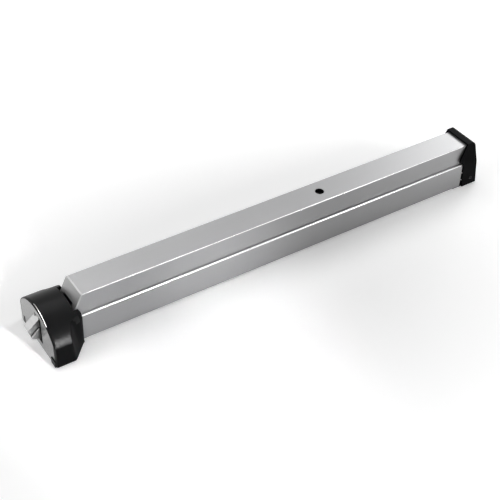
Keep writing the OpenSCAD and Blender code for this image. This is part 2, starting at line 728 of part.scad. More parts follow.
module dogging_collar() color(black) difference() {
    union() {
        box([dog_x - 14, -pad_in_w / 2 + 0.2, ledge_z + 0.1],
            [dog_x + 14, pad_in_w / 2 - 0.2, pad_in_z - 0.1]);
        upright(dog_x, 0, cup_z, pad_in_z - 1, dog_head_r + 2.8);
        upright(dog_x, 0, pad_in_z - 1, pad_top - 0.2, dog_hole_r - play);
    }
    upright(dog_x, 0, cup_z + cup_floor, pad_top + 1, dog_head_r + 0.15);
    upright(dog_x, 0, cup_z - 1, pad_top, dog_shank_r + 0.15);
}

module dogging_screw() color(black) {
    head_top = pad_top - dog_sink;
    difference() {
        union() {
            upright(dog_x, 0, cup_z + cup_floor + 0.1, head_top, dog_head_r);
            upright(dog_x, 0, dog_foot_z, cup_z + cup_floor + 1, dog_shank_r);
        }
        translate([dog_x, 0, head_top - 7]) cylinder(r = dog_hex / sqrt(3), h = 10, $fn = 6);
        difference() {
            upright(dog_x, 0, cup_z - 0.1 - clip_t - 0.1, cup_z - 0.1, dog_shank_r + 1);
            upright(dog_x, 0, cup_z - 5, cup_z, dog_shank_r - 0.6);
        }
    }
    box([dog_x - dog_bar_l / 2, -dog_foot_w / 2, dog_foot_z],
        [dog_x + dog_bar_l / 2, dog_foot_w / 2, dog_foot_z + dog_foot_t]);
}

module dogging_clip() color(steel) difference() {
    upright(dog_x, 0, cup_z - 0.15 - clip_t, cup_z - 0.15, dog_shank_r + 3);
    upright(dog_x, 0, cup_z - 5, cup_z, dog_shank_r - 0.55);
    box([dog_x - 2, -20, cup_z - 5], [dog_x + 2, 0, cup_z]);
}

// Pad

module pad_section() {
    for (s = [-1, 1]) scale([s, 1]) {
        translate([pad_in_w / 2, hook_z]) square([pad_wall, pad_top - hook_z - pad_wall / 2]);
        translate([pad_w / 2 - 1, hook_z]) square([hook_w / 2 - pad_w / 2 + 1, hook_t]);
        translate([pad_in_w / 2 - ledge_in, ledge_z - ledge_t]) square([ledge_in + 1, ledge_t]);
        translate([pad_w / 2 - 1.5, pad_top - 1.5]) circle(r = 1.5);
    }
    translate([-pad_w / 2, pad_in_z]) square([pad_w, pad_wall - 1.5]);
    translate([-pad_w / 2 + 1.5, pad_in_z]) square([pad_w - 3, pad_wall]);
}

function end_at(z) = end_x + (z - end_ref) * end_slope;

// Side outline of whatever lies right of the slanted end, set back by d
module behind_end(d, x1) polygon([[end_at(end_leg_z) + d, 0], [x1, 0], [x1, pad_top + 1],
    [end_at(pad_top + 1) + d, pad_top + 1], [end_at(end_leg_z) + d, end_leg_z]]);

module push_pad() color(satin) difference() {
    intersection() {
        translate([rail_x0, 0, 0]) along_x(pad_x1 - rail_x0) pad_section();
        across(-pad_w, pad_w) behind_end(end_plate_t + seam, pad_x1);
    }
    upright(dog_x, 0, pad_in_z - 1, pad_top + 1, dog_hole_r);
    for (s = [-1, 1]) cross_pin(end_at(68) + end_plate_t + 9, 68, 1.5 + play, min(s * 10, s * 30),
        max(s * 10, s * 30));
}

module pad_end_plate() color(zinc) {
    x_tab = end_at(68) + end_plate_t;
    difference() {
        intersection() {
            translate([rail_x0, 0, 0]) along_x(40) {
                translate([-pad_w / 2, end_leg_z]) square([pad_w, pad_top - 1.5 - end_leg_z]);
                translate([1.5 - pad_w / 2, end_leg_z]) square([pad_w - 3, pad_top - end_leg_z]);
                for (s = [-1, 1]) translate([s * (pad_w / 2 - 1.5), pad_top - 1.5]) circle(r = 1.5);
            }
            across(-pad_w, pad_w) difference() {
                behind_end(0, 200);
                behind_end(end_plate_t, 300);
            }
        }
        box([0, -end_notch_w / 2, 0], [100, end_notch_w / 2, end_notch_z]);
    }
    for (s = [-1, 1]) scale([1, s, 1]) difference() {
        box([x_tab - 2, pad_in_w / 2 - 2.2, 65], [x_tab + 14, pad_in_w / 2 - 0.2, 71]);
        cross_pin(x_tab + 9, 68, 1.5 + play, 10, 30);
        across(0, pad_w) polygon([[0, 0], [end_at(0) + end_plate_t - 1, 0],
            [end_at(100) + end_plate_t - 1, 100], [0, 100]]);
    }
}

module pad_end_rivets() color(satin) for (s = [-1, 1]) scale([1, s, 1]) {
    x = end_at(68) + end_plate_t + 9;
    cross_pin(x, 68, 1.5, pad_in_w / 2 - 2.4, pad_w / 2);
    cross_pin(x, 68, 2.4, pad_in_w / 2 - 3.4, pad_in_w / 2 - 2.3);
}

module pad_end_plug() color(black) {
    box([pad_x1 + seam, -pad_w / 2, hook_z + hook_t], [pad_x1 + plug_t, pad_w / 2, pad_top - 0.5]);
    box([pad_x1 - 9, -pad_in_w / 2 + 0.2, hook_z + hook_t],
        [pad_x1 + 1, pad_in_w / 2 - 0.2, ledge_z - ledge_t - 0.2]);
}

module pad_hanger(x) color(zinc) {
    pin_x = x + arm_a * (1 + cos(crank_half)) / 2;
    pin_z = crank_z + arm_a * sin(crank_half);
    half = arm_a * (1 - cos(crank_half)) / 2 + 3.3;
    box([x + hanger_x0 - 2, -pad_in_w / 2 + 0.2, ledge_z + 0.1],
        [x + hanger_x1 + 2, pad_in_w / 2 - 0.2, pad_in_z - 0.1]);
    for (s = [-1, 1]) scale([1, s, 1]) difference() {
        box([x + hanger_x0, cheek_y, hanger_foot], [x + hanger_x1, cheek_y + sheet_t, ledge_z + 1]);
        box([pin_x - half, 0, pin_z - 3.2], [pin_x + half, 30, pin_z + 3.2]);
    }
}
module pad_hanger_head() pad_hanger(crank_x[0]);
module pad_hanger_tail() pad_hanger(crank_x[1]);

module pad_bumpers() color(rubber) for (x = crank_x)
    box([x + hanger_x0 - 1, -cheek_y - sheet_t - 1, floor_z],
        [x + hanger_x1 + 1, cheek_y + sheet_t + 1, floor_z + bumper_t]);

// End cap

module cap_form(i) {
    x_end = overall_l - i;
    z_end = cap_top - i;
    slant = (cap_top - cap_slant_z) * end_slope;
    x_low = rail_x1 + cap_slant_x;
    intersection() {
        translate([rail_x1 - 30, 0, 0]) along_x(80) polygon([[i - cap_w / 2, -i], [cap_w / 2 - i, -i],
            [cap_w / 2 - i, cap_shoulder], [cap_top_w / 2 - i, z_end], [i - cap_top_w / 2, z_end],
                [i - cap_w / 2, cap_shoulder]]);
        across(-cap_w, cap_w) polygon([[cap_x0 - 2 * i, -i], [x_end, -i], [x_end - 6.5, cap_shoulder],
            [x_end - 13.8, z_end - 6.5], [x_end - 16, z_end - 2.3], [x_end - 20, z_end],
                [x_low + slant - 4 * i, z_end],
            [x_low - 6 * i, cap_slant_z], [cap_x0 - 5 - 4 * i, rail_top + 1]]);
    }
}

module end_cap() color(black) difference() {
    cap_form(0);
    difference() {
        cap_form(cap_t);
    }
    for (s = [-1, 1]) scale([1, s, 1]) {
        cross_pin(cap_screw_x, cap_screw_z, 1.7 + play, 10, cap_w);
        translate([cap_screw_x, cap_w / 2 - 1.6, cap_screw_z]) rotate([-90, 0, 0])
            cylinder(r1 = 1.7, r2 = 3.5, h = 1.8);
    }
}

module end_cap_screws() color(zinc) for (s = [-1, 1]) scale([1, s, 1]) {
    cross_pin(cap_screw_x, cap_screw_z, 1.7, bracket_w / 2 - 4, cap_w / 2 - 1.5);
    translate([cap_screw_x, cap_w / 2 - 1.6, cap_screw_z]) rotate([-90, 0, 0])
        cylinder(r1 = 1.6, r2 = 2.9, h = 1.4);
}

module end_bracket() color(black) difference() {
    union() {
        box([rail_x1 - 14, -bracket_w / 2, 0], [overall_l - 7, bracket_w / 2, base_t]);
        for (s = [-1, 1]) scale([1, s, 1]) box([tail_x - 4, bracket_w / 2 - 2, 0],
            [overall_l - 7, bracket_w / 2, tab_h]);
    }
    for (s = [-1, 1]) {
        upright(tail_x, s * tail_dy / 2, -1, base_t + 1, tail_r);
        upright(rail_x1 - 7, s * 14, -1, base_t + 1, 2 + play);
    }
    cross_pin(cap_screw_x, cap_screw_z, 1.7 + play, -cap_w, cap_w);
}

// Latch

module latch_bolt() color(steel) difference() {
    intersection() {
        across(latch_y0, latch_y0 + latch_w) {
            translate([latch_px, latch_pz]) circle(r = latch_hub_r);
            polygon([[4, bevel_top], [-13.5, bevel_top - 14.5], [nose_x, bevel_top - 17.5], [-11.5, 20],
                [-10.5, 14], [-8, 8],
                [9, 8], [12, 30], [latch_px + 4, latch_pz - 6], [latch_px, latch_pz],
                    [latch_px - 6, latch_pz - 1]]);
        }
        cross_pin(latch_px, latch_pz, latch_nose_r, -50, 50);
    }
    cross_pin(latch_px, latch_pz, latch_pin_r + pin_fit, -50, 50);
    cross_pin(link_x, link_z, link_pin_r + pin_fit, -50, 50);
    across(link_y - link_slot / 2, link_y + link_slot / 2)
        polygon([[0.5, 0], [0.5, 45], [3.5, latch_pz - 8], [40, latch_pz - 8], [40, 0]]);
}

module latch_link_pin() color(steel)
    cross_pin(link_x, link_z, link_pin_r, latch_y0 + 0.2, latch_y0 + latch_w - 0.2);

// Side outline of the deadlatch lever
module dead_profile() difference() {
    union() {
        translate([latch_px, latch_pz]) circle(r = latch_hub_r);
        polygon([[5, latch_pz - 2], [2.5, 34.6], [-0.5, 34.6], [-11.2, 24.6], [-12, 22.2], [-11, 20.8],
            [4, 20.8], [8, 28],
            [10, latch_pz - 6], [latch_px + 5, latch_pz - 3]]);
    }
    translate([latch_px, latch_pz]) circle(r = latch_pin_r + pin_fit);
}
module deadlatch() color(steel) across(dead_y0, dead_y0 + dead_w) dead_profile();
module deadlatch_liner() color(black) across(dead_y0 + dead_w + seam, latch_y0 - 0.2) dead_profile();

placed() head_chassis();
placed() head_cover();
placed() cover_clips();
placed() latch_frame();
placed() latch_frame_rivets();
placed() latch_pin();
placed() latch_pin_clip();
placed() latch_guide();
placed() latch_spring();
placed() deadlatch_spring();
placed() hub_retainer();
placed() hub_rivets();
placed() rail();
placed() rail_screws();
placed() crank_bracket_head();
placed() crank_bracket_tail();
placed() bracket_rivets();
placed() pivot_pin_head();
placed() pivot_pin_tail();
placed() bar_guide_head();
placed() bar_guide_tail();
placed() guide_screws();
placed() spring_bracket();
placed() spring_rod();
placed() return_spring();
placed() spring_rivets();
placed() dogging_catch();
placed() catch_rivets();
placed() pad_bumpers();
placed() end_bracket();
placed() end_cap();
placed() end_cap_screws();
placed() rail_side_rivets();
placed() push_pad();
placed() pad_end_plate();
placed() pad_end_rivets();
placed() pad_end_plug();
placed() pad_hanger_head();
placed() pad_hanger_tail();
placed() dogging_collar();
placed() dogging_screw();
placed() dogging_clip();
placed() bell_crank_head();
placed() crank_pin_head();
placed() bell_crank_tail();
placed() crank_pin_tail();
placed() connecting_bar();
placed() latch_link();
placed() link_rivets();
placed() latch_bolt();
placed() latch_link_pin();
placed() deadlatch();
placed() deadlatch_liner();
placed() trim_hub();
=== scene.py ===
"""Looks of the rim exit device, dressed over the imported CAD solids. Metres, CAD frame."""

import math

import bmesh
import bpy
from mathutils import Matrix, Vector


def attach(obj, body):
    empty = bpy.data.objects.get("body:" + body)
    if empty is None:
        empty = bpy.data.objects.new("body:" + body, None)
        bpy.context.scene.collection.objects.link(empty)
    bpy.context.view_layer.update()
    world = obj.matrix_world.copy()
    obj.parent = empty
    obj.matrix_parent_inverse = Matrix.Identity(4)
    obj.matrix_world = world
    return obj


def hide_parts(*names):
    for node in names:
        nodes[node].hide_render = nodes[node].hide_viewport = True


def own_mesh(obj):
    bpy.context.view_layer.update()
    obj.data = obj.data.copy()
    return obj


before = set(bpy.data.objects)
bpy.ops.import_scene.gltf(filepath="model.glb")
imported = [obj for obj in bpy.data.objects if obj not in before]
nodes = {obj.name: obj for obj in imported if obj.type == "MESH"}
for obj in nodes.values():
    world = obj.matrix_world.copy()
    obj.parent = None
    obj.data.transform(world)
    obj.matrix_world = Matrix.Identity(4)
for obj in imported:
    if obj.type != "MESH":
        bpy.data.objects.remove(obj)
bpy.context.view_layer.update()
scene = bpy.context.scene

# Camera

# angles in degrees, place in metres, lens in millimetres
AZ, EL, ROLL = -34.62, 40.35, 2.42
CAM = (-0.40635, -1.08357, 1.13551)
LENS = 78.27


def add_camera():
    a, e, r = (math.radians(v) for v in (AZ, EL, ROLL))
    fwd = Vector((-math.sin(a) * math.cos(e), math.cos(a) * math.cos(e), -math.sin(e)))
    right = Vector((math.cos(a), math.sin(a), 0))
    up = right.cross(fwd)
    x = math.cos(r) * right + math.sin(r) * up
    y = -math.sin(r) * right + math.cos(r) * up
    data = bpy.data.cameras.new("camera")
    data.lens = LENS
    data.sensor_width = 36
    data.sensor_fit = "HORIZONTAL"
    data.clip_start = 0.01
    data.clip_end = 50
    cam = bpy.data.objects.new("camera", data)
    scene.collection.objects.link(cam)
    cam.matrix_world = Matrix(((x.x, y.x, -fwd.x, CAM[0]), (x.y, y.y, -fwd.y, CAM[1]),
                               (x.z, y.z, -fwd.z, CAM[2]), (0, 0, 0, 1)))
    scene.camera = cam


add_camera()

# Materials

# a metal's noise: share of its fine lines against the broad clouds, and the clouds' scale
LINE_SHARE, METAL_CLOUD, PLASTIC_CLOUD = 0.7, 9, 14
# how far the roughness strays below and above a material's own
METAL_ROUGH, PLASTIC_ROUGH = (-0.05, 0.06), (-0.03, 0.05)


def new_material(name):
    m = bpy.data.materials.new(name)
    m.use_nodes = True
    nt = m.node_tree
    nt.nodes.clear()
    out = nt.nodes.new("ShaderNodeOutputMaterial")
    sh = nt.nodes.new("ShaderNodeBsdfPrincipled")
    nt.links.new(sh.outputs[0], out.inputs[0])
    return m, nt, sh


def noise(nt, scale, stretch=(1, 1, 1), detail=4, rough=0.55):
    co = nt.nodes.new("ShaderNodeTexCoord")
    mp = nt.nodes.new("ShaderNodeMapping")
    mp.inputs["Scale"].default_value = stretch
    n = nt.nodes.new("ShaderNodeTexNoise")
    n.inputs["Scale"].default_value = scale
    n.inputs["Detail"].default_value = detail
    n.inputs["Roughness"].default_value = rough
    nt.links.new(co.outputs["Object"], mp.inputs["Vector"])
    nt.links.new(mp.outputs[0], n.inputs["Vector"])
    return n.outputs["Fac"]


def remap(nt, fac, lo, hi, a=0.3, b=0.7):
    r = nt.nodes.new("ShaderNodeMapRange")
    r.inputs["From Min"].default_value = a
    r.inputs["From Max"].default_value = b
    r.inputs["To Min"].default_value = lo
    r.inputs["To Max"].default_value = hi
    nt.links.new(fac, r.inputs["Value"])
    return r.outputs[0]


def tint(nt, fac, dark, light):
    mx = nt.nodes.new("ShaderNodeMix")
    mx.data_type = "RGBA"
    mx.inputs["A"].default_value = (*dark, 1)
    mx.inputs["B"].default_value = (*light, 1)
    nt.links.new(fac, mx.inputs["Factor"])
    return mx.outputs["Result"]


def shades(base, vary):
    """Darkest and lightest colour of a surface that varies round its base colour."""
    return tuple(c * (1 - vary) for c in base), tuple(min(1, c * (1 + vary)) for c in base)


def bump(nt, sh, fac, depth):
    b = nt.nodes.new("ShaderNodeBump")
    b.inputs["Distance"].default_value = depth
    nt.links.new(fac, b.inputs["Height"])
    nt.links.new(b.outputs[0], sh.inputs["Normal"])


def metal(name, base, rough, metallic, streak, scale, vary, depth=2e-5):
    """Metal with drawn or ground lines: the noise is stretched along the axis with the small factor."""
    m, nt, sh = new_material(name)
    lines = noise(nt, scale, streak, 5, 0.6)
    cloud = noise(nt, METAL_CLOUD, (1, 1, 1), 3)
    mul = nt.nodes.new("ShaderNodeMath")
    mul.operation = "MULTIPLY_ADD"
    mul.inputs[1].default_value = LINE_SHARE
    nt.links.new(lines, mul.inputs[0])
    rest = nt.nodes.new("ShaderNodeMath")
    rest.operation = "MULTIPLY"
    rest.inputs[1].default_value = 1 - LINE_SHARE
    nt.links.new(cloud, rest.inputs[0])
    nt.links.new(rest.outputs[0], mul.inputs[2])
    fac = mul.outputs[0]
    nt.links.new(tint(nt, remap(nt, fac, 0, 1), *shades(base, vary)), sh.inputs["Base Color"])
    nt.links.new(remap(nt, fac, *(rough + v for v in METAL_ROUGH)), sh.inputs["Roughness"])
    sh.inputs["Metallic"].default_value = metallic
    bump(nt, sh, lines, depth)
    return m


def plastic(name, base, rough, grain=900, depth=2e-5, vary=0.15, spec=0.5):
    """Moulded plastic, rubber or paint: a fine grain for its surface and broad clouds for its colour."""
    m, nt, sh = new_material(name)
    fine = noise(nt, grain, (1, 1, 1), 2)
    cloud = noise(nt, PLASTIC_CLOUD, (1, 1, 1), 4)
    nt.links.new(tint(nt, remap(nt, cloud, 0, 1), *shades(base, vary)), sh.inputs["Base Color"])
    nt.links.new(remap(nt, cloud, *(rough + v for v in PLASTIC_ROUGH)), sh.inputs["Roughness"])
    sh.inputs["Specular IOR Level"].default_value = spec
    bump(nt, sh, fine, depth)
    return m


# after its name and colour a metal has roughness, metallic, streak, scale and variation, and a plastic has
# roughness, grain, depth and variation
MAT = {
    "anodised": metal("satin_anodised", (0.36, 0.36, 0.365), 0.40, 0.6, (1, 70, 70), 30, 0.03),
    # painted highlight: a near-white metal for the rounded long edges of the pad and the rail's ledges
    "painted_highlight_edge": metal("edge_painted_highlight", (0.92, 0.92, 0.92), 0.28, 0.95, (1, 1, 1), 60, 0.05),
    "end_face": metal("end_plate_steel", (0.33, 0.33, 0.33), 0.24, 0.9, (1, 20, 20), 30, 0.05),
    "plated": metal("zinc_plate", (0.44, 0.44, 0.435), 0.30, 0.85, (20, 20, 1), 30, 0.05),
    "end_plate": metal("pad_end_satin", (0.46, 0.46, 0.46), 0.42, 0.6, (1, 40, 40), 40, 0.04),
    "latch": metal("latch_brushed", (0.62, 0.62, 0.62), 0.33, 0.85, (8, 1, 8), 60, 0.10, 3e-5),
    # painted shade: a darker steel for the parts inside the head, seen through the latch window
    "inner": metal("inner_steel_painted_shade", (0.22, 0.22, 0.22), 0.45, 0.7, (20, 20, 1), 30, 0.05),
    "spring": metal("spring_wire", (0.35, 0.35, 0.36), 0.3, 0.9, (1, 1, 1), 200, 0.1),
    "black": plastic("black_moulding", (0.006, 0.006, 0.0064), 0.30, spec=0.09),
    "black_cap": plastic("black_cap_moulding", (0.002, 0.002, 0.0024), 0.48, spec=0.025),
    # painted highlight: a bright metal for a thin strip of the head cover's rim facet
    "rim_glint": metal("rim_facet_painted_highlight", (0.70, 0.70, 0.70), 0.2, 1.0, (1, 1, 1), 200, 0.08),
    # painted shade: a darker, duller copy of the black moulding, with a coarser grain, for the cover's
    # rear-facing faces and foot walls
    "black_shaded_flank": plastic("flank_moulding_painted_shade", (0.004, 0.004, 0.0043), 0.5, 700, 6e-5, spec=0.03),
    "black_screw": metal("blackened_screw", (0.02, 0.02, 0.021), 0.35, 0.4, (1, 1, 1), 300, 0.1),
    "black_steel": plastic("black_painted_steel", (0.018, 0.018, 0.02), 0.42, 500),
    "nylon": plastic("nylon", (0.80, 0.79, 0.74), 0.45, 600, 1e-5, 0.03),
    "rubber": plastic("rubber", (0.02, 0.02, 0.02), 0.75, 700, 3e-5),
    "brass": metal("turned_brass", (0.62, 0.48, 0.22), 0.3, 0.95, (1, 1, 60), 40, 0.06),
    "screw": metal("screw_zinc", (0.55, 0.55, 0.54), 0.32, 0.9, (1, 1, 1), 150, 0.08),
}
# every CAD node that isn't named here is zinc plated
NODE_MAT = {
    "rail": "anodised", "push_pad": "anodised", "rail_side_rivets": "anodised",
    "pad_end_rivets": "anodised", "pad_end_plate": "end_plate", "latch_bolt": "latch",
    "deadlatch": "latch", "dogging_screw": "black_screw", "dogging_clip": "latch",
    "latch_spring": "spring", "deadlatch_spring": "spring", "return_spring": "spring",
    "head_cover": "black", "end_cap": "black_cap", "pad_end_plug": "black_cap",
    "dogging_collar": "black_cap", "end_bracket": "black_steel", "bar_guide_head": "nylon",
    # the deadlatch liner is black so it darkens the gap beside the latch: a dark part standing in for shade
    "bar_guide_tail": "nylon", "pad_bumpers": "rubber", "head_chassis": "end_face",
    "latch_guide": "black_cap", "deadlatch_liner": "black_cap", "latch_frame": "inner",
    "latch_frame_rivets": "inner", "latch_pin": "inner", "latch_pin_clip": "inner", "trim_hub": "brass",
    "end_cap_screws": "black_screw", "rail_screws": "screw", "guide_screws": "screw",
}
# width of the softened edges, in metres; the nodes named here also get a finer rounding
EDGE = {"head_cover": 0.0009, "end_cap": 0.0008, "rail": 0.0003, "push_pad": 0.0003, "pad_end_plate": 0.0003,
        "latch_bolt": 0.00025, "deadlatch": 0.00025, "head_chassis": 0.0004}
EDGE_REST = 0.0002
# nodes that keep their mesh as it is: wound wires, and the small rivets of the spring's bracket
AS_MADE = ("return_spring", "latch_spring", "deadlatch_spring", "spring_rivets")
WELD_DIST, FLAT_ANGLE = 2e-6, 0.3


def soft_edges(o, width, angle=28, segments=3):
    b = o.modifiers.new("edge", "BEVEL")
    b.width = width
    b.segments = segments
    b.limit_method = "ANGLE"
    b.angle_limit = math.radians(angle)
    b.use_clamp_overlap = True
    b.harden_normals = True


for name, o in nodes.items():
    mat = MAT[NODE_MAT.get(name, "plated")]
    if not o.material_slots:
        o.data.materials.append(mat)
    for s in o.material_slots:
        s.material = mat
    if name not in AS_MADE:
        w = o.modifiers.new("weld", "WELD")
        w.merge_threshold = WELD_DIST
        d = o.modifiers.new("flat", "DECIMATE")
        d.decimate_type = "DISSOLVE"
        d.angle_limit = math.radians(FLAT_ANGLE)
        soft_edges(o, EDGE.get(name, EDGE_REST), segments=3 if name in EDGE else 2)

# The rounded long edges of the pad and of the rail's ledges get a bright metal, a painted highlight; the turn
# tells how much of them.
HIGHLIGHT_TURN, HIGHLIGHT_Z = {"push_pad": 0.45, "rail": 0.12}, 0.045
for name, turn in HIGHLIGHT_TURN.items():
    o = nodes[name]
    o.data.materials.append(MAT["painted_highlight_edge"])
    for f in o.data.polygons:
        if min(f.normal.z, abs(f.normal.y)) > turn and f.center.z > HIGHLIGHT_Z:
            f.material_index = 1

# Head cover: a smooth moulded skin in place of the CAD cover. Sizes here are in millimetres along the bar.

BAR_X0 = 24.0          # the part's origin, measured along the bar from the latch end plate
HALF_W, DOME_TOP, FOOT_Z = 60.5, 70.5, 36.0
DOME_R = (HALF_W ** 2 + (DOME_TOP - FOOT_Z) ** 2) / (2 * (DOME_TOP - FOOT_Z))
DOME_C = DOME_TOP - DOME_R
CREASE_R = 3.0         # rounding between the foot walls and the dome
SKIN_T = 2.2
# edge of the opening that the end plate sits in: inset at the crown, distance of its sides
PLATE_IN, PLATE_Y = 1.85, 55.15
# chamfered front rim: place along the bar, share of the way from that opening to the cover's outline
RIM_FRONT, RIM_END = ((0.2, 0.0), (0.1, 0.05)), 4.4
# the rim's narrow facet: its middle along the bar by distance from the centreline, and its own four points
FACET_X = ((0, 2.8), (17, 2.3), (35.5, 1.3), (60.5, 1.2))
FACET = ((-0.37, 0.75), (-0.3, 0.77), (0.3, 0.97), (0.37, 1.0))
# where that facet gets the bright metal of a painted highlight, in metres: this close to its middle, above
# this height and on the near side of this line; the last value is how much it has to turn up
GLINT_HALF, GLINT_LOW, GLINT_FAR, GLINT_UP = 0.00025, 0.0605, 0.008, 0.3
# faces of the cover that get a darker, duller copy of the black moulding with a coarser grain, painted shade:
# how far they turn to the rear or to the side
FLANK_REAR, FLANK_SIDE, FLANK_TOP = 0.3, 0.93, 0.036
SLOT_X, SLOT_Y = 46.5, 28.6
NECK_X, NECK_Y, NECK_TOP_Y = 58.0, 32.5, 35.8
RAIL_Y, RAIL_Z = 28.7, 48.4
# rows of the half outline: on the foot, on the rounding, and on the dome down to each distance from centre
FOOT_ROWS, CREASE_ROWS, DOME_ROWS = 20, 5, ((42, 14), (NECK_TOP_Y, 9), (SLOT_Y, 8), (0, 18))
# rows along the bar: from the rim to the cover's end, and on the arms beside the slot
COVER_ROWS, ARM_ROWS = 20, 10
# how much further back the foot's rear edge is at the door, and how near the slot an arm's rows start
FOOT_LEAN, ARM_LEAD = 2.8, 3
# shares of the way across an end wall
WALL_STEPS = (0, 0.33, 0.67, 1)
# softening of the skin: rounds, how far behind the rim it starts, and how close points are merged, in metres
RELAX_ROUNDS, RELAX_FROM, MERGE_DIST = 5, 1.1, 2e-5
# distances this close count as equal
NEAR = 0.01
# place along the bar of the neck's end, by height
NECK_ENDS = ((0, NECK_X), (52, NECK_X), (58.2, NECK_X - 1.5), (64.5, NECK_X - 5), (80, NECK_X - 5))
# edge of the scooped corner on the door, from the foot to the neck: place along the bar, distance from centre
GROUND = ((30.5, HALF_W), (31.6, HALF_W - 0.5), (32.7, HALF_W - 1.6), (55.8, NECK_Y + 1.2),
          (56.5, NECK_Y + 0.4), (57.2, NECK_Y), (NECK_X, NECK_Y))
# upper edge of the scooped rear corner: distance from the centreline, place along the bar
SCOOP = ((60.5, 27.7), (57, 28.4), (52, 30.0), (47.3, 31.9), (44.2, 33.0), (41.8, 34.2), (39.8, 36.2),
         (38.2, 39.4), (37.2, 43.5), (36.5, 48.5), (35.8, 55.2))


def at(x, y, z):
    """Point given in millimetres along the bar, in the part's own frame."""
    return Vector(((x - BAR_X0) / 1000, y / 1000, z / 1000))


def steps(a, b, n):
    return [a + (b - a) * i / n for i in range(n + 1)]


def along(table, v):
    """Value of a table of (key, value) pairs at v; its keys run down or up."""
    pts = sorted(table)
    if v <= pts[0][0]:
        return pts[0][1]
    for (k0, v0), (k1, v1) in zip(pts, pts[1:]):
        if v <= k1:
            return v0 + (v1 - v0) * (v - k0) / (k1 - k0)
    return pts[-1][1]


def neck_end(z):
    return along(NECK_ENDS, z)


def head_rows():
    """Half outline of the head, from the door to the crown: (distance from centre, height, normal, kind)."""
    cy = HALF_W - CREASE_R
    cz = DOME_C + math.sqrt((DOME_R - CREASE_R) ** 2 - cy ** 2)
    rows = [(HALF_W, z, (1, 0), "foot") for z in steps(0, cz, FOOT_ROWS)]
    end = math.atan2(cz - DOME_C, cy)
    for a in steps(0, end, CREASE_ROWS)[1:]:
        n = (math.cos(a), math.sin(a))
        rows.append((cy + CREASE_R * n[0], cz + CREASE_R * n[1], n, "foot"))
    ys = [DOME_R * math.cos(end)]
    for goal, n in DOME_ROWS:
        ys += steps(ys[-1], goal, n)[1:]
    for y in ys[1:]:
        a = math.acos(y / DOME_R)
        n = (math.cos(a), math.sin(a))
        kind = "scoop" if y > NECK_TOP_Y + NEAR else "arm" if y > SLOT_Y - NEAR else "crown"
        rows.append((y, DOME_C + DOME_R * n[1], n, kind))
    return rows


def grid(bm, points):
    """Skin over a table of points, row by row."""
    vs = [[bm.verts.new(p) for p in row] for row in points]
    for r0, r1 in zip(vs, vs[1:]):
        for i in range(len(r0) - 1):
            quad = [r0[i], r0[i + 1], r1[i + 1], r1[i]]
            if len({tuple(round(c, 7) for c in v.co) for v in quad}) > 2:
                bm.faces.new(quad)


def arc_fractions(pts):
    d = [0.0]
    for a, b in zip(pts, pts[1:]):
        d.append(d[-1] + (b - a).length)
    return [v / d[-1] for v in d]


def point_at(pts, f):
    """Point of a polyline at the fraction f of its length."""
    fr = arc_fractions(pts)
    for i in range(len(pts) - 1):
        if f <= fr[i + 1] + 1e-9:
            return pts[i].lerp(pts[i + 1], (f - fr[i]) / max(fr[i + 1] - fr[i], 1e-9))
    return pts[-1].copy()


def coons(left, top, bottom, right):
    """Smooth patch between four edges; left and right run upwards, top and bottom run along the bar."""
    ss, ts = arc_fractions(top), arc_fractions(left)
    rows = []
    for i, t in enumerate(ts):
        row = []
        for j, s in enumerate(ss):
            p = bottom[j] * (1 - t) + top[j] * t + left[i] * (1 - s) + right[i] * s
            p -= (bottom[0] * (1 - t) + top[0] * t) * (1 - s) + (bottom[-1] * (1 - t) + top[-1] * t) * s
            row.append(p)
        rows.append(row)
    return rows


def relax(bm, rounds, keep):
    """Softens the skin's edges; keep(v) says which points stay."""
    free = [v for v in bm.verts if not v.is_boundary and not keep(v)]
    for _ in range(rounds):
        moved = []
        for v in free:
            ring = [e.other_vert(v).co for e in v.link_edges]
            moved.append(v.co.lerp(sum(ring, Vector()) / len(ring), 0.5))
        for v, co in zip(free, moved):
            v.co = co


